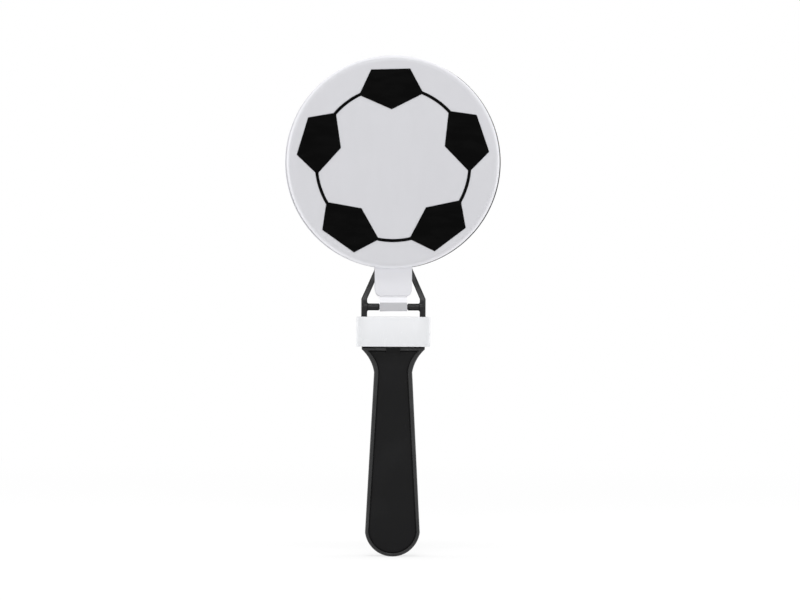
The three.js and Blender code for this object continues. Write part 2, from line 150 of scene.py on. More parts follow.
class Plane(Enum):
    """The plane that an outline is drawn in. The value is the axis of u, of v and of the depth."""

    FRONT = (0, 2, 1)
    SIDE = (1, 2, 0)
    TOP = (0, 1, 2)

    def place(self, u: float, v: float, depth: float) -> Vector:
        """Turns outline coordinates into a point in space.

        Args:
            u: first coordinate in the outline.
            v: second coordinate in the outline.
            depth: distance along the third axis.

        Returns:
            The point.
        """
        point = Vector((0.0, 0.0, 0.0))
        for axis, value in zip(self.value, (u, v, depth)):
            point[axis] = value
        return point


class Signal:
    """An output of a shader node. Arithmetic on signals adds Math nodes."""

    def __init__(self, shader: "Shader", socket: bpy.types.NodeSocket) -> None:
        """Keeps the socket and the tree that it belongs to."""
        self.shader = shader
        self.socket = socket

    def out(self, key: str | int) -> "Signal":
        """Another output of the same node, by name or number."""
        return Signal(self.shader, self.socket.node.outputs[key])

    def _math(self, operation: str, *terms: "Signal | float") -> "Signal":
        """Adds one Math node over these terms."""
        return self.shader.node("ShaderNodeMath", {"operation": operation}, dict(enumerate(terms)))

    def __add__(self, other: "Signal | float") -> "Signal":
        """Sum."""
        return self._math("ADD", self, other)

    def __sub__(self, other: "Signal | float") -> "Signal":
        """Difference."""
        return self._math("SUBTRACT", self, other)

    def __rsub__(self, other: float) -> "Signal":
        """Difference with the number first."""
        return self._math("SUBTRACT", other, self)

    def __mul__(self, other: "Signal | float") -> "Signal":
        """Product."""
        return self._math("MULTIPLY", self, other)

    def __abs__(self) -> "Signal":
        """Size without its sign."""
        return self._math("ABSOLUTE", self)

    __radd__ = __add__
    __rmul__ = __mul__

    def step(self, low: float, high: float) -> "Signal":
        """A smooth step from 0 at the low value to 1 at the high one."""
        settings = {"interpolation_type": "SMOOTHSTEP"}
        return self.shader.node("ShaderNodeMapRange", settings, {0: self, 1: low, 2: high})


class Shader:
    """A node tree, with one method that makes every node."""

    def __init__(self, tree: bpy.types.NodeTree) -> None:
        """Empties the tree."""
        self.tree = tree
        tree.nodes.clear()

    def node(self, kind: str, settings: dict | None = None, inputs: dict | None = None) -> Signal:
        """Makes one node.

        Args:
            kind: the node's type.
            settings: its own properties, set first.
            inputs: a value or a signal for each socket, by name or number.

        Returns:
            The node's first output. An output node has none and gives its first input.
        """
        node = self.tree.nodes.new(kind)
        for key, value in (settings or {}).items():
            setattr(node, key, value)
        for key, value in (inputs or {}).items():
            if isinstance(value, Signal):
                self.tree.links.new(value.socket, node.inputs[key])
            else:
                node.inputs[key].default_value = value
        return Signal(self, node.outputs[0] if node.outputs else node.inputs[0])

    def place(self) -> Signal:
        """The point on the object, in metres."""
        return self.node("ShaderNodeTexCoord").out("Object")

    def stretched(self, place: Signal, scale: Triple) -> Signal:
        """The point with each axis scaled by its own factor."""
        return self.node("ShaderNodeMapping", None, {"Vector": place, "Scale": scale})

    def noise(self, place: Signal, size: float, detail: float) -> Signal:
        """Soft noise about 0.5, with blotches of a size and a number of finer layers."""
        inputs = {"Vector": place, "Scale": 1 / (size * MM), "Detail": detail}
        return self.node("ShaderNodeTexNoise", None, inputs)

    def blend(self, share: Signal, first: Colour | Signal, second: Colour) -> Signal:
        """Mixes two colours by a share."""
        return self.node("ShaderNodeMix", {"data_type": "RGBA"}, {0: share, 6: first, 7: second}).out(2)

    def bump(self, height: Signal, depth: float, under: Signal | None = None) -> Signal:
        """Relief from a height between 0 and 1.

        Args:
            height: the height.
            depth: size of the relief.
            under: relief that this one lies on.

        Returns:
            The normal.
        """
        inputs = {"Height": height, "Strength": 1.0, "Distance": depth * MM}
        if under is not None:
            inputs["Normal"] = under
        return self.node("ShaderNodeBump", None, inputs)

    def close(self, kind: str, surface: Signal) -> None:
        """Ends the tree with its output node."""
        self.node(kind, None, {"Surface": surface})


def tinted(colour: Colour, factor: float) -> Colour:
    """The colour made lighter or darker by a factor."""
    return (colour[0] * factor, colour[1] * factor, colour[2] * factor, 1.0)


@dataclass(frozen=True)
class Pattern:
    """Soft noise that is stepped from 0 to 1: mottling, streaks, rubbed places or specks.

    The size is the width of its blotches and the detail the number of finer layers.
    """

    size: float
    detail: float
    low: float
    high: float
    stretch: Triple | None = None

    def raw(self, shader: Shader, place: Signal) -> Signal:
        """The noise before it is stepped."""
        spot = place if self.stretch is None else shader.stretched(place, self.stretch)
        return shader.noise(spot, self.size, self.detail)

    def at(self, shader: Shader, place: Signal) -> Signal:
        """How strong the pattern is at a point, from 0 to 1."""
        return self.raw(shader, place).step(self.low, self.high)


@dataclass(frozen=True)
class Relief:
    """Fine unevenness all over a surface."""

    size: float
    detail: float
    depth: float

    def at(self, shader: Shader, place: Signal, under: Signal | None = None) -> Signal:
        """The normal of the relief at a point, laid over another relief if one is given."""
        return shader.bump(shader.noise(place, self.size, self.detail), self.depth, under)


@dataclass(frozen=True)
class PaintedShade:
    """Painted light and shade: a part of a surface whose colour is made lighter or darker, set by its
    distance from a middle along an axis.
    """

    axis: Axis
    none_at: float
    full_at: float
    factor: float
    middle: float = 0.0

    def share(self, shader: Shader, place: Signal) -> Signal:
        """How much of the shade there is at a point.

        Args:
            shader: the tree.
            place: the point.

        Returns:
            A value from 0 to 1.
        """
        along = shader.node("ShaderNodeSeparateXYZ", None, {0: place}).out(self.axis.value)
        away = abs(along - self.middle * MM)
        if self.none_at < self.full_at:
            return away.step(self.none_at * MM, self.full_at * MM)
        return 1 - away.step(self.full_at * MM, self.none_at * MM)


@dataclass(frozen=True)
class Finish:
    """A surface finish. Subclasses say how its colour, roughness and relief vary."""

    name: str
    colour: Colour
    roughness: float
    specular: float = 0.5
    tones: Point = (1.0, 1.0)

    def material(self) -> bpy.types.Material:
        """Builds the material, once for each name.

        Returns:
            The material.
        """
        known = bpy.data.materials.get(self.name)
        if known is not None:
            return known
        material = bpy.data.materials.new(self.name)
        material.use_nodes = True
        shader = Shader(material.node_tree)
        shader.close("ShaderNodeOutputMaterial", self.dress(shader))
        return material

    def dress(self, shader: Shader) -> Signal:
        """Makes the surface's nodes."""
        raise NotImplementedError

    def toned(self, shader: Shader, share: Signal) -> Signal:
        """The colour between its two tones, by a share."""
        darker, lighter = self.tones
        return shader.blend(share, tinted(self.colour, darker), tinted(self.colour, lighter))

    def principled(self, shader: Shader, colour: Signal, roughness: Signal, normal: Signal) -> Signal:
        """Makes the surface node.

        Args:
            shader: the tree.
            colour: base colour.
            roughness: roughness.
            normal: normal with its relief.

        Returns:
            The surface.
        """
        inputs = {"Base Color": colour, "Roughness": roughness, "Normal": normal,
                  "Specular IOR Level": self.specular}
        return shader.node("ShaderNodeBsdfPrincipled", None, inputs)


@dataclass(frozen=True)
class WhiteMoulding(Finish):
    """Glossy white plastic with a little flow mottling, faint handling marks and specks.

    Parts of it are made lighter or darker by painted light and shade.
    """

    tones: Point = (0.985, 1.012)
    painted_shades: tuple[PaintedShade, ...] = ()
    mottle: Pattern = Pattern(26.0, 3.0, 0.3, 0.7)
    flow: Pattern = Pattern(5.0, 2.0, 0.35, 0.65, (1.0, 1.0, 0.25))
    flow_share: float = 0.4
    specks: Pattern = Pattern(0.55, 1.0, 0.79, 0.82)
    speck_share: float = 0.35
    speck_tone: float = 0.72
    handling: Pattern = Pattern(14.0, 4.0, 0.52, 0.72)
    handling_dulls: float = 0.045
    hairlines: Pattern = Pattern(0.35, 1.0, 0.66, 0.72, (1.0, 1.0, 0.05))
    hairlines_dull: float = 0.03
    skin: Relief = Relief(0.9, 2.0, 0.0035)
    waves: Relief = Relief(11.0, 1.0, 0.02)

    def dress(self, shader: Shader) -> Signal:
        """Makes the surface's nodes.

        Args:
            shader: the tree.

        Returns:
            The surface.
        """
        place = shader.place()
        mottling = self.mottle.at(shader, place) * (1 - self.flow_share)
        colour = self.toned(shader, mottling + self.flow.at(shader, place) * self.flow_share)
        # painted light and shade, laid over the plastic's own colour
        for shade in self.painted_shades:
            colour = shader.blend(shade.share(shader, place), colour, tinted(self.colour, shade.factor))
        specks = self.specks.at(shader, place) * self.speck_share
        colour = shader.blend(specks, colour, tinted(self.colour, self.speck_tone))
        roughness = (self.handling.at(shader, place) * self.handling_dulls
                     + self.hairlines.at(shader, place) * self.hairlines_dull + self.roughness)
        normal = self.waves.at(shader, place, self.skin.at(shader, place))
        return self.principled(shader, colour, roughness, normal)


@dataclass(frozen=True)
class BlackMoulding(Finish):
    """Satin black plastic with light rubbing and fine scuffs."""

    tones: Point = (0.85, 1.35)
    rubbing: Pattern = Pattern(9.0, 4.0, 0.45, 0.75)
    rubbing_share: float = 0.7
    rubbing_dulls: float = 0.08
    scuffing: Pattern = Pattern(0.45, 2.0, 0.62, 0.74, (1.0, 1.0, 0.08))
    scuffing_dulls: float = 0.09
    skin: Relief = Relief(0.5, 2.0, 0.004)
    waves: Relief = Relief(7.0, 1.0, 0.03)

    def dress(self, shader: Shader) -> Signal:
        """Makes the surface's nodes.

        Args:
            shader: the tree.

        Returns:
            The surface.
        """
        place = shader.place()
        rubbed = self.rubbing.at(shader, place)
        scuffs = self.scuffing.at(shader, place)
        colour = self.toned(shader, rubbed * self.rubbing_share + scuffs * (1 - self.rubbing_share))
        roughness = rubbed * self.rubbing_dulls + scuffs * self.scuffing_dulls + self.roughness
        normal = self.waves.at(shader, place, self.skin.at(shader, place))
        return self.principled(shader, colour, roughness, normal)


@dataclass(frozen=True)
class GrainedMoulding(Finish):
    """Black plastic with the fine, even grain of a spark-eroded mould, polished a little by the hand."""

    tones: Point = (0.9, 1.15)
    polish: Pattern = Pattern(16.0, 3.0, 0.4, 0.75)
    polish_shines: float = 0.1
    grain: float = 0.25
    grain_depth: float = 0.01
    grain_dulls: float = 0.08
    skin: Relief = Relief(0.25, 1.0, 0.004)

    def dress(self, shader: Shader) -> Signal:
        """Makes the surface's nodes.

        Args:
            shader: the tree.

        Returns:
            The surface.
        """
        place = shader.place()
        polished = self.polish.at(shader, place)
        cells = shader.node("ShaderNodeTexVoronoi", {"feature": "SMOOTH_F1"},
                            {"Vector": place, "Scale": 1 / (self.grain * MM)})
        roughness = self.roughness - polished * self.polish_shines + cells * self.grain_dulls
        normal = shader.bump(cells, self.grain_depth, self.skin.at(shader, place))
        return self.principled(shader, self.toned(shader, polished), roughness, normal)


@dataclass(frozen=True)
class PrintedInk(Finish):
    """A flat coat of black ink, with a faint pull from the printing pad and a few pinholes."""

    tones: Point = (0.8, 1.9)
    pull: Pattern = Pattern(3.0, 3.0, 0.35, 0.7, (0.3, 1.0, 1.0))
    pull_share: float = 0.5
    pull_dulls: float = 0.14
    pinholes: Pattern = Pattern(0.3, 1.0, 0.8, 0.84)
    skin: Relief = Relief(0.6, 3.0, 0.006)

    def dress(self, shader: Shader) -> Signal:
        """Makes the surface's nodes.

        Args:
            shader: the tree.

        Returns:
            The surface.
        """
        place = shader.place()
        pull = self.pull.raw(shader, place)
        pulled = pull.step(self.pull.low, self.pull.high) * self.pull_share
        colour = self.toned(shader, pulled + self.pinholes.at(shader, place) * (1 - self.pull_share))
        roughness = pull * self.pull_dulls + self.roughness
        return self.principled(shader, colour, roughness, self.skin.at(shader, place))


# Painted light: the thin wall round the dish and everything behind the face are made lighter.
RIM_PAINTED_LIGHT = PaintedShade(Axis.Y, 7.5, 6.7, 1.18)  # the thin wall round the dish
# Painted light: the bare neck below the disc is made lighter.
NECK_PAINTED_LIGHT = PaintedShade(Axis.Z, 79.0, 78.2, 1.19)  # the bare neck below the disc
# Painted shade: the clip below its slope is made darker.
CLIP_PAINTED_SHADE = PaintedShade(Axis.Z, 64.15, 63.75, 0.79)  # the clip with the black bar in it, below its slope
# Painted shadow: a dark line along the crease between the neck's foot and the slope.
CREASE_PAINTED_SHADOW = PaintedShade(Axis.Z, 0.35, 0.1, 0.82, 66.4)  # the crease between the neck's foot and the slope
# Painted shade: the collar is made darker towards the bottom.
COLLAR_FOOT_PAINTED_SHADE = PaintedShade(Axis.Z, 56.0, 46.0, 0.94)  # the lower half of the collar, over the grip's shoulders
# Painted shade: the collar's ends are made darker.
COLLAR_END_PAINTED_SHADE = PaintedShade(Axis.X, 9.5, 15.5, 0.92)  # the ends of the collar, over the legs of the frame
# The paddle's and the collar's whites carry the painted light and shade listed above.
PADDLE_WHITE = WhiteMoulding("paddle_white", (0.66, 0.66, 0.69, 1.0), 0.3,
                             painted_shades=(RIM_PAINTED_LIGHT, NECK_PAINTED_LIGHT, CLIP_PAINTED_SHADE, CREASE_PAINTED_SHADOW))
COLLAR_WHITE = WhiteMoulding("collar_white", (0.865, 0.875, 0.895, 1.0), 0.26, painted_shades=(COLLAR_FOOT_PAINTED_SHADE, COLLAR_END_PAINTED_SHADE))
FRAME_BLACK = BlackMoulding("frame_black", (0.0215, 0.0215, 0.022, 1.0), 0.26, 0.16)
GRIP_BLACK = BlackMoulding("grip_black", (0.033, 0.033, 0.0336, 1.0), 0.27, 0.22)
PANEL_BLACK = GrainedMoulding("panel_black", (0.0102, 0.0102, 0.0106, 1.0), 0.5, 0.09)
INK = PrintedInk("pad_print", (0.0026, 0.0026, 0.0026, 1.0), 0.45, 0.02)


def arc(start: Point, end: Point, rise: float, steps: int) -> list[Point]:
    """Points of an arc after its start, up to and with its end.

    Args:
        start: the arc's first point.
        end: the arc's last point.
        rise: height over the chord, to the right of the way when positive.
        steps: number of stretches.

    Returns:
        The points.
    """
    first, last = complex(*start), complex(*end)
    chord = abs(last - first)
    height = abs(rise)
    radius = (chord * chord / 4 + height * height) / (2 * height)
    right = (last - first) / chord * -1j
    centre = (first + last) / 2 + math.copysign(1, rise) * right * (height - radius)
    spoke = first - centre
    sweep = math.copysign(2 * math.asin(chord / 2 / radius), rise)
    angles = (sweep * k / steps for k in range(1, steps + 1))
    points = (centre + spoke * complex(math.cos(angle), math.sin(angle)) for angle in angles)
    return [(point.real, point.imag) for point in points]


def round_points(centre: Point, radii: Point, start: float, sweep: float, steps: int) -> list[Point]:
    """Points of an elliptic arc, with its radii along u and v and its angles in degrees."""
    angles = (math.radians(start + sweep * k / steps) for k in range(steps + 1))
    return [(centre[0] + radii[0] * math.cos(a), centre[1] + radii[1] * math.sin(a)) for a in angles]


def round_places(centre: Vector, radius: float, count: int, start: float) -> list[Vector]:
    """Places spread evenly round a circle in the front view, the first at an angle in degrees."""
    angles = (math.radians(start + 360 * number / count) for number in range(count))
    return [centre + Vector((math.cos(angle), 0.0, math.sin(angle))) * radius for angle in angles]


def mirrored(points: list[Point]) -> list[Point]:
    """The points followed by their mirror images in u = 0, in one round."""
    return points + [(-u, v) for u, v in reversed(points)]


class Form:
    """A closed body under work."""

    def __init__(self) -> None:
        """Starts empty."""
        self.bm = bmesh.new()

    @classmethod
    def prism(cls, outline: list[Point], plane: Plane, near: float, far: float) -> "Form":
        """Draws an outline and extrudes it.

        Args:
            outline: its points in order.
            plane: the plane that it is drawn in.
            near: where the body starts along the third axis.
            far: where it ends.

        Returns:
            The body.
        """
        form = cls()
        points = [p for k, p in enumerate(outline) if math.dist(p, outline[k - 1]) > SAME_POINT]
        face = form.bm.faces.new([form.bm.verts.new(plane.place(u, v, near)) for u, v in points])
        grown = bmesh.ops.extrude_face_region(form.bm, geom=[face])["geom"]
        bmesh.ops.translate(form.bm, verts=[g for g in grown if isinstance(g, bmesh.types.BMVert)],
                            vec=plane.place(0.0, 0.0, far - near))
        return form.tidied()

    @classmethod
    def turned(cls, profile: list[Point], axis: Vector, centre: Vector, steps: int) -> "Form":
        """Turns a profile round an axis.

        Args:
            profile: points of radius and distance along the axis.
            axis: direction of the axis.
            centre: a point on the axis.
            steps: number of facets in the round.

        Returns:
            The body.
        """
        form = cls()
        out = axis.orthogonal().normalized()
        verts = [form.bm.verts.new(centre + out * radius + axis * along) for radius, along in profile]
        edges = [form.bm.edges.new(pair) for pair in zip(verts, verts[1:])]
        bmesh.ops.spin(form.bm, geom=verts + edges, cent=centre, axis=axis, dvec=(0, 0, 0),
                       angle=2 * math.pi, steps=steps, use_merge=True, use_duplicate=False)
        return form.tidied()

    @classmethod
    def disc(cls, centre: Vector, radius: float, near: float, far: float, steps: int) -> "Form":
        """Turns a plain round body that stands on the front plane, from one depth to another."""
        return cls.turned([(0.0, near), (radius, near), (radius, far), (0.0, far)], Y_AXIS, centre, steps)

    @classmethod
    def gathered(cls, others: Iterable["Form"]) -> "Form":
        """Puts bodies that don't touch each other into one form.

        Args:
            others: the bodies. They are used up.

        Returns:
            The form.
        """
        form = cls()
        for other in others:
            mesh = bpy.data.meshes.new("gathered")
            other.bm.to_mesh(mesh)
            other.bm.free()
            form.bm.from_mesh(mesh)
            bpy.data.meshes.remove(mesh)
        return form

    def tidied(self) -> "Form":
        """Merges doubles and turns every face outwards.

        Returns:
            This body.
        """
        bmesh.ops.remove_doubles(self.bm, verts=self.bm.verts, dist=SAME_POINT)
        bmesh.ops.recalc_face_normals(self.bm, faces=self.bm.faces)
        return self

    def painted(self, number: int) -> "Form":
        """Gives every face a material number.

        Args:
            number: the number.

        Returns:
            This body.
        """
        for face in self.bm.faces:
            face.material_index = number
        return self

    def bevelled(self, edges: list[bmesh.types.BMEdge], radius: float,
                 segments: int) -> list[bmesh.types.BMFace]:
        """Rounds these edges with a number of facets across, and gives the new faces."""
        return bmesh.ops.bevel(self.bm, geom=edges, offset=radius, offset_type="OFFSET", segments=segments,
                               profile=0.5, affect="EDGES", clamp_overlap=True, material=-1)["faces"]

    def rounded(self, radius: float, pick: Callable[[Vector], bool], segments: int) -> "Form":
        """Rounds the crisp edges whose two ends are both picked.

        Args:
            radius: the rounding's radius.
            pick: says whether a point is on an edge to round.
            segments: number of facets across the rounding.

        Returns:
            This body.
        """
        edges = [e for e in self.bm.edges
                 if e.calc_face_angle(0.0) > SHARP and all(pick(v.co) for v in e.verts)]
        self.bevelled(edges, radius, segments)
        return self

    def combined(self, others: Iterable["Form"], way: Combine) -> "Form":
        """Joins other bodies to this one, cuts them out of it or keeps what they share.

        Args:
            others: the other bodies. They are used up.
            way: what is done with them.

        Returns:
            This body.
        """
        for other in others:
            base = self.as_object("base", FINISH_SLOTS)
            tool = other.as_object("tool", FINISH_SLOTS)
            modifier = base.modifiers.new("combine", "BOOLEAN")
            modifier.operation = way.value
            modifier.solver = "EXACT"
            modifier.object = tool
            depsgraph = bpy.context.evaluated_depsgraph_get()
            result = bpy.data.meshes.new_from_object(base.evaluated_get(depsgraph))
            self.bm.clear()
            self.bm.from_mesh(result)
            for spent in (base.data, tool.data, result):
                bpy.data.meshes.remove(spent)
            other.bm.free()
        return self.tidied()

    def joined(self, *others: "Form") -> "Form":
        """This body with others joined to it."""
        return self.combined(others, Combine.JOIN)

    def cut(self, *others: "Form") -> "Form":
        """This body with others cut out of it."""
        return self.combined(others, Combine.CUT)

    def as_object(self, name: str, empty_slots: int = 0) -> bpy.types.Object:
        """Puts a copy of the mesh in the scene as an object.

        Args:
            name: the object's name.
            empty_slots: number of empty material slots, so that faces keep their material numbers.

        Returns:
            The object.
        """
        mesh = bpy.data.meshes.new(name)
        for _ in range(empty_slots):
            mesh.materials.append(None)
        self.bm.to_mesh(mesh)
        made = bpy.data.objects.new(name, mesh)
        bpy.context.scene.collection.objects.link(made)
        return made

    def copied(self, place: Matrix) -> "Form":
        """Copies this body to another place.

        Args:
            place: how the copy is moved.

        Returns:
            The copy.
        """
        twin = Form()
        twin.bm = self.bm.copy()
        bmesh.ops.transform(twin.bm, matrix=place, verts=twin.bm.verts)
        return twin

    def piece(self, name: str, finishes: list[Finish], body: Body, slot: Slot, node: str) -> None:
        """Finishes the body as a piece of the scene. It is used up.

        Args:
            name: the piece's name.
            finishes: its finishes, in the order of its faces' material numbers.
            body: the body that it rides on.
            slot: the record's material slot for the piece; not used.
            node: the part that it stands for.
        """
        for face in self.bm.faces:
            face.smooth = True
        for edge in self.bm.edges:
            edge.smooth = edge.calc_face_angle(0.0) < SHARP
        open_edges = sum(1 for edge in self.bm.edges if len(edge.link_faces) != 2)
        bmesh.ops.scale(self.bm, vec=(MM, MM, MM), verts=self.bm.verts)
        made = self.as_object(name)
        self.bm.free()
        for finish in finishes:
            made.data.materials.append(finish.material())
        normals = made.modifiers.new("even normals", "WEIGHTED_NORMAL")
        normals.keep_sharp = True
        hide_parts(node)
        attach(made, body.value)
        LOG.info("%s: %d faces, %d open edges, rides on %s", name, len(made.data.polygons), open_edges,
                 body.value)


def box_of(node: str) -> tuple[Vector, Vector]:
    """The lowest and highest corner of a part, in millimetres."""
    low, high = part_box(node)
    return low / MM, high / MM


def axle_of(joint_name: str) -> Vector:
    """The place of a hinge, in millimetres."""
    joint = next(j for j in frame["joints"] if j["name"] == joint_name)
    return Vector(joint["pos_m"]) / MM


@dataclass
class Grip:
    """The black handle: a rimmed panel on each face, a block for the collar and two catches."""

    edge: float = 1.0
    end_rise: float = 10.3
    end_width: float = 23.5
    waist_width: float = 16.4
    waist_drop: float = 11.0
    flare_drop: float = 1.2
    flare_hollow: float = 0.95
    shoulder_half: float = 13.55
    shoulder_rise: float = 0.7
    seam_drop: float = 0.6
    seam_depth: float = 0.6
    panel_depth: float = 0.8
    panel_top_width: float = 21.8
    panel_top_drop: float = 1.7
    panel_hollow: float = 1.0
    panel_edge: float = 0.4
    rim_at_waist: float = 1.9
    rim_at_end: float = 1.4
    groove_width: float = 0.5
    groove_depth: float = 0.4
    groove_edge: float = 0.15
    block_half: float = 11.1
    block_edge: float = 0.25
    notch_half: float = 8.9
    notch_top: float = 49.3
    catch_width: float = 6.0
    catch_reach: float = 6.3
    catch_height: float = 1.8
    catch_lip: float = 0.3
    catch_edge: float = 0.12
    seat_gap: float = 0.3

    def __post_init__(self) -> None:
        """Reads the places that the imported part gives."""
        self.collar_bottom = box_of("collar")[0].z
        self.low, self.high = box_of("grip")
        self.face = box_of("centre_paddle")[1].y
        self.floor = self.face - self.panel_depth
        self.shoulder = self.collar_bottom + self.shoulder_rise
        self.arc_start = self.low.z + self.end_rise

    def outline(self, top: float, start: Point, waist: float, end: float, rise: float,
                hollow: float) -> list[Point]:
        """The outline of the grip or of its panel.

        Args:
            top: height of the flat top.
            start: half width and height where the flare starts.
            waist: half width at the waist.
            end: half width where the end's arc starts.
            rise: height of the end's arc.
            hollow: depth of the flare's arc.

        Returns:
            The points in order.
        """
        waist_z = self.collar_bottom - self.waist_drop
        points = [(start[0], top), (-start[0], top), (-start[0], start[1])]
        points += arc(points[-1], (-waist, waist_z), -hollow, Facets.FLARE)
        points.append((-end, self.arc_start))
        points += arc(points[-1], (end, self.arc_start), rise, Facets.GRIP_END)
        points.append((waist, waist_z))
        points += arc(points[-1], start, -hollow, Facets.FLARE)
        return points

    def panel(self, inset: float) -> list[Point]:
        """The panel's outline.

        Args:
            inset: how far it is drawn in.

        Returns:
            The points in order.
        """
        top = self.collar_bottom - self.panel_top_drop - inset
        corner = (self.panel_top_width / 2 - inset, top)
        waist = self.waist_width / 2 - self.rim_at_waist - inset
        end = self.end_width / 2 - self.rim_at_end - inset
        rise = self.end_rise - self.rim_at_end - inset
        return self.outline(top, corner, waist, end, rise, self.panel_hollow)

    def recess(self, side: Side) -> Form:
        """The space that is cut for one panel, with a groove all round its floor.

        Args:
            side: the face that it is in.

        Returns:
            The space.
        """
        near, far = side.value * (self.floor - self.groove_depth), side.value * (self.face + OVERCUT)
        space = Form.prism(self.panel(0.0), Plane.FRONT, near, far)
        space.cut(Form.prism(self.panel(self.groove_width), Plane.FRONT, 0.0, side.value * self.floor))
        return space.painted(SUNK_AND_PAINTED_SHADE)

    def seam(self, side: Side) -> Form:
        """What is cut away where the shoulder goes up into the collar, so that a dark seam shows there. Its
        faces take the darker panel finish as painted shade.

        Args:
            side: the face that it is in.

        Returns:
            The space.
        """
        near, far = self.face - self.seam_depth, self.face + OVERCUT
        low, top = self.collar_bottom - self.seam_drop, self.shoulder + OVERCUT
        line = [(side.value * y, z) for y, z in ((near, low), (far, low), (far, top), (near, top))]
        half = self.shoulder_half + OVERCUT
        return Form.prism(line, Plane.SIDE, -half, half).painted(SUNK_AND_PAINTED_SHADE)

    def round_panels(self, form: Form) -> None:
        """Rounds the panels' lips and the edges of their raised floors.

        Args:
            form: the grip with its panels cut.
        """
        lips = [e for e in form.bm.edges if len({f.material_index for f in e.link_faces}) == 2]
        for face in form.bevelled(lips, self.panel_edge, Facets.EDGE):
            face.material_index = OUTSIDE
        form.rounded(self.groove_edge, lambda p: abs(abs(p.y) - self.floor) < SAME_POINT, Facets.HAIR_EDGE)

    def handle(self) -> Form:
        """The handle with its panels and seams.

        Returns:
            The handle.
        """
        start = (self.shoulder_half, self.collar_bottom - self.flare_drop)
        line = self.outline(self.shoulder, start, self.waist_width / 2, self.end_width / 2, self.end_rise,
                            self.flare_hollow)
        form = Form.prism(line, Plane.FRONT, -self.face, self.face)
        edges = [e for e in form.bm.edges
                 if abs(abs(e.verts[0].co.y + e.verts[1].co.y) - 2 * self.face) < SAME_POINT
                 and min(v.co.z for v in e.verts) < self.shoulder - SAME_POINT]
        form.bevelled(edges, self.edge, Facets.GRIP_EDGE)
        form.tidied().cut(*(self.recess(side) for side in Side))
        self.round_panels(form)
        return form.cut(*(self.seam(side) for side in Side))

    def block(self) -> Form:
        """The block that goes up into the collar between the feet of the frame.

        Returns:
            The block.
        """
        line = mirrored([(self.notch_half, self.shoulder - OVERCUT), (self.notch_half, self.notch_top),
                         (self.block_half, self.notch_top), (self.block_half, self.high.z)])
        form = Form.prism(line, Plane.FRONT, -self.face, self.face)
        return form.rounded(self.block_edge, lambda p: p.z > self.notch_top + SAME_POINT, Facets.THIN_EDGE)

    def catches(self) -> Form:
        """The two catches that hold the collar from below. They take the darker panel finish as painted
        shade.

        Returns:
            The catches.
        """
        top = self.collar_bottom - self.seat_gap
        ramp = [(self.floor, top - self.catch_height - self.panel_depth),
                (self.catch_reach, top - self.catch_lip), (self.catch_reach, top)]
        form = Form.prism(mirrored(ramp), Plane.SIDE, -self.catch_width / 2, self.catch_width / 2)
        form.rounded(self.catch_edge, lambda p: abs(p.y) > self.floor + SAME_POINT, Facets.HAIR_EDGE)
        return form.painted(SUNK_AND_PAINTED_SHADE)

    def build(self) -> None:
        """Builds the grip."""
        form = self.handle().joined(self.block(), self.catches())
        form.piece("grip_moulding", [GRIP_BLACK, PANEL_BLACK], Body.HANDLE, Slot.BLACK, "grip")


@dataclass
class Collar:
    """The white sleeve that locks the frame to the grip, with a lip over the block at its top."""

    wall: float = 1.75
    corner: float = 1.4
    edge: float = 0.4
    lip_height: float = 1.2
    lip_reach: float = 1.2
    lip_half: float = 11.1
    mouth_edge: float = 0.18

    def build(self) -> None:
        """Builds the collar."""
        low, high = box_of("collar")
        form = Form()
        bmesh.ops.create_cube(form.bm, size=1.0)
        bmesh.ops.scale(form.bm, vec=high - low, verts=form.bm.verts)
        bmesh.ops.translate(form.bm, vec=(low + high) / 2, verts=form.bm.verts)
        upright = [e for e in form.bm.edges if abs(e.verts[0].co.z - e.verts[1].co.z) > SAME_POINT]
        form.bevelled(upright, self.corner, Facets.BROAD_EDGE)
        form.rounded(self.edge, lambda p: True, Facets.EDGE)
        inner_x, inner_y = high.x - self.wall, high.y - self.wall
        lip_y = inner_y - self.lip_reach
        sleeve = [(inner_x, -inner_y), (inner_x, inner_y)]
        mouth = [(self.lip_half, -lip_y), (self.lip_half, -inner_y), *sleeve, (self.lip_half, inner_y),
                 (self.lip_half, lip_y)]
        lip_z = high.z - self.lip_height
        form.cut(Form.prism(mirrored(sleeve), Plane.TOP, low.z - OVERCUT, lip_z),
                 Form.prism(mirrored(mouth), Plane.TOP, lip_z - OVERCUT, high.z + OVERCUT))
        form.rounded(self.mouth_edge,
                     lambda p: p.z > high.z - SAME_POINT or p.z < low.z + SAME_POINT, Facets.HAIR_EDGE)
        form.piece("collar_moulding", [COLLAR_WHITE], Body.HANDLE, Slot.WHITE, "collar")


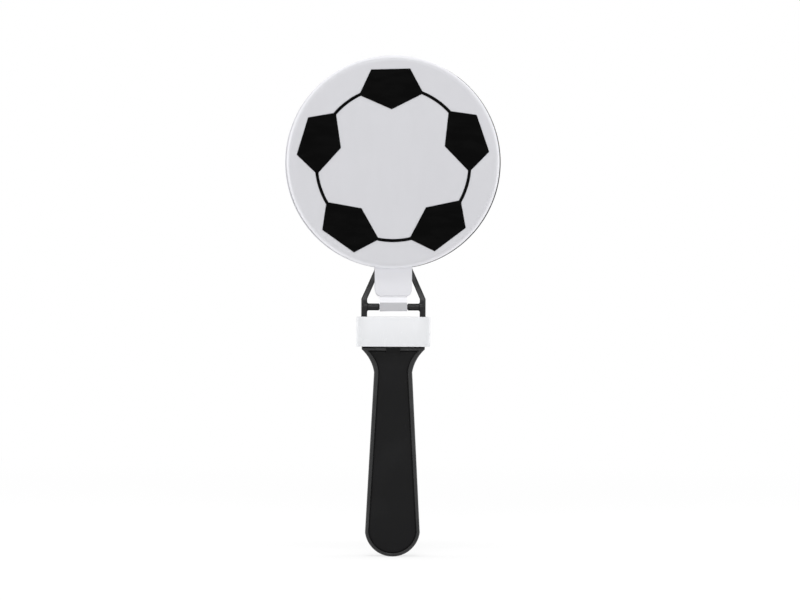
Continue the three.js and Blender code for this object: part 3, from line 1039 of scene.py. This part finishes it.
@dataclass
class CentrePaddle:
    """The black frame: two legs, two hinge bars and the disc that the paddles strike."""

    rim_half: float = 1.2
    rim_width: float = 2.4
    rim_round: float = 0.6
    web_half: float = 0.8
    upright: float = 2.5
    leg_half: float = 13.8
    leg_edge: float = 0.45
    bend_height: float = 3.5
    arm_half_depth: float = 2.0
    arm_spread: float = 15.6
    arm_setback: float = 0.1
    arm_root: float = 1.6
    foot_hook: float = 2.2
    foot_height: float = 3.0
    foot_cover: float = 2.0
    neck_clear: float = 8.3
    disc_reach: float = 62.2
    bar_radius: float = 1.5
    bar_root: float = 0.5
    journal_radius: float = 1.1
    journal_half: float = 6.2
    journal_edge: float = 0.15
    mark_radius: float = 2.2
    mark_depth: float = 0.12
    mark_ring: float = 24.6
    marks: int = 6

    def __post_init__(self) -> None:
        """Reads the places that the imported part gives."""
        self.low, self.high = box_of("centre_paddle")
        self.axle = axle_of("rear_hinge")
        self.disc_z = self.axle.z + self.disc_reach
        self.radius = self.high.z - self.disc_z
        self.centre = Vector((0.0, 0.0, self.disc_z))
        self.inner = self.leg_half - self.upright

    def leg(self) -> Form:
        """The right leg: its front view crossed with its side view, on a hooked foot.

        Returns:
            The leg.
        """
        inner = self.inner
        bend = self.axle.z + self.bend_height
        rim_z = self.disc_z - math.sqrt(self.radius ** 2 - (self.arm_spread / 2) ** 2)
        top = rim_z + self.arm_root
        lean = (self.leg_half - self.arm_spread / 2) / (rim_z - bend)
        behind_neck = bend + (inner - self.neck_clear) / lean
        arm_top = self.leg_half - lean * (top - bend)
        start = box_of("collar")[1].z - self.foot_cover
        depth, rim = self.high.y, self.rim_half - self.arm_setback
        front = [(self.leg_half, start), (self.leg_half, bend), (arm_top, top), (arm_top - self.upright, top),
                 (inner, bend), (inner, start)]
        profile = mirrored([(depth, start), (depth, bend), (self.arm_half_depth, behind_neck), (rim, rim_z),
                            (rim, top)])
        leg = Form.prism(front, Plane.FRONT, -2 * depth, 2 * depth)
        side_view = Form.prism(profile, Plane.SIDE, -2 * self.leg_half, 2 * self.leg_half)
        leg.combined([side_view], Combine.SHARE).rounded(self.leg_edge, lambda p: True, Facets.EDGE)
        hook, hook_top = inner - self.foot_hook, self.low.z + self.foot_height
        foot = [(self.leg_half, self.low.z), (self.leg_half, start + OVERCUT), (inner, start + OVERCUT),
                (inner, hook_top), (hook, hook_top), (hook, self.low.z)]
        return leg.joined(Form.prism(foot, Plane.FRONT, -depth, depth))

    def bar(self, side: Side) -> Form:
        """One hinge bar, with a cone at each root and a journal between shoulders.

        Args:
            side: the side that it is on.

        Returns:
            The bar.
        """
        end = self.inner + self.upright / 2
        root = self.bar_radius + self.bar_root
        half = [(self.journal_radius, 0.0), (self.journal_radius, self.journal_half),
                (self.bar_radius, self.journal_half), (self.bar_radius, self.inner - self.bar_root),
                (root, self.inner), (root, end), (0.0, end)]
        profile = [(radius, -along) for radius, along in reversed(half)] + half[1:]
        place = Vector((0.0, side.value * abs(self.axle.y), self.axle.z))
        form = Form.turned(profile, X_AXIS, place, Facets.BAR)
        return form.rounded(self.journal_edge,
                            lambda p: abs(abs(p.x) - self.journal_half) < SAME_POINT, Facets.HAIR_EDGE)

    def ejector_marks(self) -> list[Form]:
        """The shallow round marks that the mould's ejector pins leave on both faces of the web.

        Returns:
            What is cut for the marks.
        """
        places = round_places(self.centre, self.mark_ring, self.marks, 0.0)
        return [Form.disc(place, self.mark_radius, side.value * (self.web_half - self.mark_depth),
                          side.value * (self.web_half + OVERCUT), Facets.PIN)
                for side in Side for place in places]

    def build(self) -> None:
        """Builds the frame with its disc."""
        rim, web, radius = self.rim_half, self.web_half, self.radius
        inner = radius - self.rim_width
        profile = [(0.0, -web), (inner, -web), (inner + rim - web, -rim), (radius, -rim), (radius, rim),
                   (inner + rim - web, rim), (inner, web), (0.0, web)]
        form = Form.turned(profile, Y_AXIS, self.centre, Facets.DISC)
        form.rounded(self.rim_round, lambda p: (p - self.centre).xz.length > radius - SAME_POINT,
                     Facets.SOFT_EDGE)
        form.cut(Form.gathered(self.ejector_marks()))
        right_leg = self.leg()
        left_leg = right_leg.copied(Matrix.Scale(-1.0, 4, X_AXIS)).tidied()
        form.joined(right_leg, left_leg, *(self.bar(side) for side in Side))
        form.piece("frame_moulding", [FRAME_BLACK], Body.HANDLE, Slot.BLACK, "centre_paddle")


@dataclass
class Paddle:
    """A white dished paddle with its neck and snap clip. Both paddles are this one moulding.

    It is made in its own frame, with the axle at the origin and the face at negative y.
    """

    disc_radius: float = 45.69
    reach: float = 62.2
    face: float = -4.0
    rim: float = 2.1
    rim_edge: float = 0.3
    dish_face: float = 1.4
    dish_wall: float = 1.3
    dish_round: float = 2.4
    dish_inner_round: float = 1.2
    rib_length: float = 12.0
    rib_edge: float = 0.2
    neck_front: float = -1.0
    neck_back: float = 1.3
    neck_half: float = 8.0
    neck_foot: float = 4.7
    neck_corner: float = 3.9
    neck_length: float = 16.5
    neck_web: float = 1.3
    neck_flange: float = 1.2
    neck_edge: float = 1.0
    neck_floor: float = 1.8
    clip_half: float = 5.9
    clip_radius: float = 3.0
    clip_edge: float = 0.8
    foot_ledge: float = 0.2
    bore: float = 1.3
    throat: float = 0.9
    mouth: float = 1.5
    jaw_drop: float = 1.8
    jaw_chamfer: float = 0.4
    slope_foot: float = 1.7
    crease: float = 0.5
    back_overlap: float = 0.04
    mark_radius: float = 2.5
    mark_depth: float = 0.15
    mark_ring: float = 30.0
    marks: int = 5
    gate_radius: float = 1.1
    gate_height: float = 0.35
    gate_root: float = 0.5

    def __post_init__(self) -> None:
        """Works out the disc's centre and the dish's inside."""
        self.centre = Vector((0.0, 0.0, self.reach))
        self.inside = self.disc_radius - self.dish_wall
        self.floor = self.face + self.dish_face

    def clip_outline(self) -> list[Point]:
        """The clip seen from the side: a slope down from the neck, the front face, jaws and bore.

        Returns:
            The points in order.
        """
        bore, radius, drop = self.bore, self.clip_radius, self.jaw_drop
        throat_z = -math.sqrt(bore ** 2 - self.throat ** 2)
        foot = math.degrees(math.asin(drop / radius))
        back = self.neck_back - self.back_overlap
        top = math.degrees(math.acos(back / radius))
        start = math.degrees(math.atan2(throat_z, -self.throat))
        turn = 360 - (math.degrees(math.atan2(throat_z, self.throat)) - start)
        crease = (self.neck_front + self.crease, self.neck_foot + self.crease)
        points = [(crease[0], self.neck_foot + OVERCUT), crease, (-radius, self.slope_foot),
                  (-radius, self.jaw_chamfer - drop), (self.jaw_chamfer - radius, -drop),
                  (-self.mouth, -drop)]
        points += round_points((0.0, 0.0), (bore, bore), start, -turn, Facets.BORE)
        points.append((self.mouth, -drop))
        points += round_points((0.0, 0.0), (radius, radius), -foot, foot + top, Facets.CLIP_BACK)
        points.append((back, self.neck_foot + OVERCUT))
        return points

    def neck_outline(self, half: float, bottom: float, foot_half: float, top: float) -> list[Point]:
        """The neck seen from the front.

        Args:
            half: half its width.
            bottom: height of its foot.
            foot_half: half the width of its foot.
            top: height of its top.

        Returns:
            The points in order.
        """
        radii = (half - foot_half, self.neck_corner)
        corner = round_points((foot_half, bottom + self.neck_corner), radii, 0.0, -90.0, Facets.FOOT_CORNER)
        return mirrored([(half, top)] + corner)

    def hollow(self) -> Form:
        """The space inside the dish.

        Returns:
            The space.
        """
        edge, lip = self.rim_edge, self.inside + self.rim_edge
        profile = [(0.0, self.floor), (self.inside, self.floor)]
        profile += round_points((lip, self.rim - edge), (edge, edge), 180.0, -90.0, Facets.THIN_EDGE)
        profile += [(lip, self.rim + OVERCUT), (0.0, self.rim + OVERCUT)]
        form = Form.turned(profile, Y_AXIS, self.centre, Facets.DISC)
        return form.rounded(self.dish_inner_round, lambda p: p.y < self.floor + SAME_POINT, Facets.SOFT_EDGE)

    def neck(self) -> Form:
        """The neck's body, up into the disc.

        Returns:
            The neck.
        """
        front = self.neck_front + SAME_POINT
        top = self.reach - math.sqrt(self.inside ** 2 - self.neck_half ** 2) + OVERCUT
        line = self.neck_outline(self.neck_half, self.neck_foot, self.clip_half + self.foot_ledge, top)
        form = Form.prism(line, Plane.FRONT, self.neck_front, self.neck_back)
        return form.rounded(self.neck_edge, lambda p: p.y < front and p.z < top - SAME_POINT,
                            Facets.SOFT_EDGE)

    def channel(self) -> Form:
        """The space in the neck's back.

        Returns:
            The space.
        """
        line = self.neck_outline(self.neck_half - self.neck_flange, self.neck_foot + self.neck_floor,
                                 self.clip_half - self.neck_flange, self.neck_length)
        return Form.prism(line, Plane.FRONT, self.neck_front + self.neck_web, self.neck_back + OVERCUT)

    def ribs(self) -> list[Form]:
        """The two ribs that carry the neck's flanges on into the dish.

        Returns:
            The ribs.
        """
        start = self.neck_length + self.dish_wall
        end = start + self.rib_length
        under = self.face + self.dish_face / 2
        line = [(under, start), (under, end), (self.floor, end), (self.neck_back, start)]
        inner = self.neck_half - self.neck_flange
        return [Form.prism(line, Plane.SIDE, left, right).rounded(
                    self.rib_edge, lambda p: p.y > under + SAME_POINT, Facets.HAIR_EDGE)
                for left, right in ((-self.neck_half, -inner), (inner, self.neck_half))]

    def clip(self) -> Form:
        """The snap clip, with its front corners rounded.

        Returns:
            The clip.
        """
        form = Form.prism(self.clip_outline(), Plane.SIDE, -self.clip_half, self.clip_half)
        front, end = self.neck_front - SAME_POINT, self.clip_half - SAME_POINT
        low = self.jaw_chamfer - self.jaw_drop - SAME_POINT
        return form.rounded(self.clip_edge, lambda p: p.y < front and abs(p.x) > end and p.z > low,
                            Facets.EDGE)

    def gate(self) -> Form:
        """The little stub that is left where the moulding was filled."""
        return Form.disc(self.centre, self.gate_radius, self.floor - self.gate_root,
                         self.floor + self.gate_height, Facets.GATE)

    def ejector_marks(self) -> list[Form]:
        """The shallow round marks that the mould's ejector pins leave on the dish's floor.

        Returns:
            What is cut for the marks.
        """
        places = round_places(self.centre, self.mark_ring, self.marks, 90.0)
        low, high = self.floor - self.mark_depth, self.floor + OVERCUT
        return [Form.disc(place, self.mark_radius, low, high, Facets.PIN) for place in places]

    def moulding(self) -> Form:
        """Builds the moulding.

        Returns:
            The moulding.
        """
        form = Form.disc(self.centre, self.disc_radius, self.face, self.rim, Facets.DISC)
        form.rounded(self.dish_round, lambda p: p.y < self.face + SAME_POINT, Facets.BROAD_EDGE)
        form.rounded(self.rim_edge, lambda p: p.y > self.rim - SAME_POINT, Facets.THIN_EDGE)
        form.joined(self.neck()).cut(self.hollow(), self.channel())
        form.joined(Form.gathered([*self.ribs(), self.clip(), self.gate()]))
        return form.cut(Form.gathered(self.ejector_marks()))


@dataclass
class FootballPrint:
    """The football pattern: five-sided patches joined by a ring line, printed on a paddle's face."""

    thickness: float = 0.15
    drop: float = 0.95
    turn: float = 0.85
    margin: float = 0.9
    line: float = 1.3
    own_turns: tuple[float, ...] = (0.5, 0.0, -0.4, 0.0, -0.2)  # of each patch, as the pad left them
    patch_length: float = 18.1
    patch_shoulder: float = 8.6
    outer_angle: float = 11.6
    side_angle: float = 24.8

    def build(self, paddle: Paddle) -> Form:
        """Builds the print in the paddle's own frame.

        Args:
            paddle: the paddle that it is printed on.

        Returns:
            The print.
        """
        outer = paddle.disc_radius - paddle.dish_round - self.drop - self.margin
        ring = outer - self.patch_shoulder
        near, far = paddle.face - self.thickness, paddle.face
        centre = paddle.centre - Vector((0.0, 0.0, self.drop))
        half = self.line / 2
        profile = [(ring - half, near), (ring + half, near), (ring + half, far), (ring - half, far),
                   (ring - half, near)]
        form = Form.turned(profile, Y_AXIS, centre, Facets.DISC)
        spokes = [(outer - self.patch_length, 0.0), (ring, -self.side_angle), (outer, -self.outer_angle),
                  (outer, self.outer_angle), (ring, self.side_angle)]
        for number, own_turn in enumerate(self.own_turns):
            middle = 90 + self.turn + own_turn + 360 * number / len(self.own_turns)
            line = [(radius * math.cos(math.radians(middle + angle)),
                     centre.z + radius * math.sin(math.radians(middle + angle))) for radius, angle in spokes]
            form.joined(Form.prism(line, Plane.FRONT, near, far))
        return form


@dataclass
class PaddlePair:
    """The two paddles with their prints, each leaning a little in the play of its clip."""

    front_lean: float = 0.4
    rear_lean: float = 1.2

    def place(self, side: Side) -> Matrix:
        """Where a paddle's own frame stands.

        Args:
            side: the paddle's side.

        Returns:
            The placing.
        """
        front = side is Side.FRONT
        lean = math.radians(self.front_lean if front else self.rear_lean)
        axle = axle_of("front_hinge" if front else "rear_hinge")
        turn = 0.0 if front else math.pi
        return Matrix.Translation(axle) @ Matrix.Rotation(-lean, 4, "Y") @ Matrix.Rotation(turn, 4, "Z")

    def build(self) -> None:
        """Builds both paddles and both prints."""
        paddle = Paddle()
        kinds = ((paddle.moulding(), "moulding", PADDLE_WHITE, Slot.WHITE, "paddle"),
                 (FootballPrint().build(paddle), "pattern", INK, Slot.INK, "print"))
        for side, body in ((Side.FRONT, Body.FRONT), (Side.REAR, Body.REAR)):
            place = self.place(side)
            for form, kind, finish, slot, node in kinds:
                twin = form.copied(place)
                twin.piece(f"{body.value}_{kind}", [finish], body, slot, f"{body.value}_{node}")


@dataclass(frozen=True)
class Softbox:
    """An area lamp that faces the clapper. Its place and size are in metres."""

    name: str
    place: Triple
    size: Point
    power: float

    def build(self, target: Vector) -> None:
        """Sets the lamp up.

        Args:
            target: the point that it faces, in metres.
        """
        light = bpy.data.lights.new(self.name, "AREA")
        light.shape = "RECTANGLE"
        light.size, light.size_y = self.size
        light.energy = self.power
        lamp = bpy.data.objects.new(self.name, light)
        lamp.location = self.place
        lamp.rotation_euler = (target - Vector(self.place)).to_track_quat("-Z", "Y").to_euler()
        bpy.context.scene.collection.objects.link(lamp)


LAMPS = (Softbox("key", (-0.1, -1.13, 0.6), (0.5, 0.12), 2.6),
         Softbox("high lamp", (0.0, -0.4, 1.1), (0.5, 0.15), 2.5),
         Softbox("left strip", (-0.8, 0.08, 0.2), (0.25, 0.45), 1.0),
         Softbox("right strip", (0.8, 0.08, 0.2), (0.25, 0.45), 1.0),
         Softbox("top strip", (0.0, 0.05, 1.1), (0.5, 0.1), 0.5))


@dataclass
class Studio:
    """A pale floor, soft lamps, a white surround and the camera. Lengths are in metres, angles in degrees."""

    distance: float = 1.5
    aim: Triple = (0.0028, 0.0, 0.06501)
    roll: float = -0.27
    frame_width: float = 0.344
    sensor_width: float = 36.0
    floor_size: float = 6.0
    floor_white: float = 0.72
    floor_fade: Point = (0.25, 0.9)
    paper: tuple[Colour, Colour] = ((0.93, 0.93, 0.93, 1.0), (0.97, 0.97, 0.97, 1.0))
    paper_grain: float = 3.0
    paper_detail: float = 3.0
    side_light: float = 0.84
    front_loss: float = 0.76
    rear_loss: float = 0.4
    loss_rise: Point = (0.15, 0.95)
    top_light: float = 0.23
    top_rise: Point = (-0.2, 1.0)

    def build(self) -> None:
        """Sets up the floor, the surround, the lamps and the camera."""
        self.floor()
        self.surround()
        for lamp in LAMPS:
            lamp.build(Vector(self.aim))
        self.camera()

    def seen(self, shader: Shader) -> Signal:
        """1 for camera, glossy and transmission rays, 0 for the light that falls on things.

        Args:
            shader: the tree.

        Returns:
            The signal.
        """
        path = shader.node("ShaderNodeLightPath")
        sides = path.out("Is Camera Ray") + path.out("Is Glossy Ray") + path.out("Is Transmission Ray")
        return sides.step(0.0, 1.0)

    def floor(self) -> None:
        """Lays the floor under the clapper's lowest point. It fades to white away from it."""
        bm = bmesh.new()
        bmesh.ops.create_grid(bm, x_segments=1, y_segments=1, size=self.floor_size / 2)
        bmesh.ops.translate(bm, vec=(0.0, 0.0, CAD_BOX[0].z), verts=bm.verts)
        mesh = bpy.data.meshes.new("floor")
        bm.to_mesh(mesh)
        bm.free()
        floor = bpy.data.objects.new("floor", mesh)
        bpy.context.scene.collection.objects.link(floor)
        material = bpy.data.materials.new("pale_floor")
        material.use_nodes = True
        shader = Shader(material.node_tree)
        place = shader.place()
        away = shader.node("ShaderNodeVectorMath", {"operation": "LENGTH"}, {0: place}).out("Value")
        white = away.step(*self.floor_fade) * (1 - self.floor_white) + self.floor_white
        grain = shader.noise(place, self.paper_grain, self.paper_detail)
        diffuse = shader.node("ShaderNodeBsdfDiffuse", None, {"Color": shader.blend(grain, *self.paper)})
        glow = shader.node("ShaderNodeEmission", None, {"Color": WHITE, "Strength": 1.0})
        shares = {0: self.seen(shader) * white, 1: diffuse, 2: glow}
        shader.close("ShaderNodeOutputMaterial", shader.node("ShaderNodeMixShader", None, shares))
        floor.data.materials.append(material)

    def surround(self) -> None:
        """Makes the surround white to look at. Its light is a tent that is dimmer at the front and back."""
        world = bpy.data.worlds.new("surround")
        bpy.context.scene.world = world
        world.use_nodes = True
        shader = Shader(world.node_tree)
        way = shader.node("ShaderNodeSeparateXYZ", None, {0: shader.node("ShaderNodeTexCoord")})
        front = (0 - way.out("Y")).step(*self.loss_rise)
        rear = way.out("Y").step(*self.loss_rise)
        light = way.out("Z").step(*self.top_rise) * self.top_light + self.side_light
        light = light - front * self.front_loss - rear * self.rear_loss
        seen = self.seen(shader)
        glow = {"Color": WHITE, "Strength": seen + (1 - seen) * light}
        shader.close("ShaderNodeOutputWorld", shader.node("ShaderNodeBackground", None, glow))

    def camera(self) -> None:
        """Sets the camera square to the front face, as in the photograph."""
        lens = bpy.data.cameras.new("camera")
        lens.sensor_width = self.sensor_width
        lens.lens = lens.sensor_width * self.distance / self.frame_width
        camera = bpy.data.objects.new("camera", lens)
        camera.location = Vector(self.aim) - Vector((0.0, self.distance, 0.0))
        camera.rotation_euler = (math.pi / 2, math.radians(self.roll), 0.0)
        bpy.context.scene.collection.objects.link(camera)
        bpy.context.scene.camera = camera


def main() -> None:
    """Builds the clapper and its studio."""
    logging.basicConfig(level=logging.INFO, format="%(message)s")
    bpy.context.scene.view_settings.view_transform = "Standard"
    for assembly in (Grip(), Collar(), CentrePaddle(), PaddlePair()):
        assembly.build()
        LOG.info("built %s", type(assembly).__name__)
    Studio().build()
    bpy.context.view_layer.update()


if __name__ == "__main__":
    main()
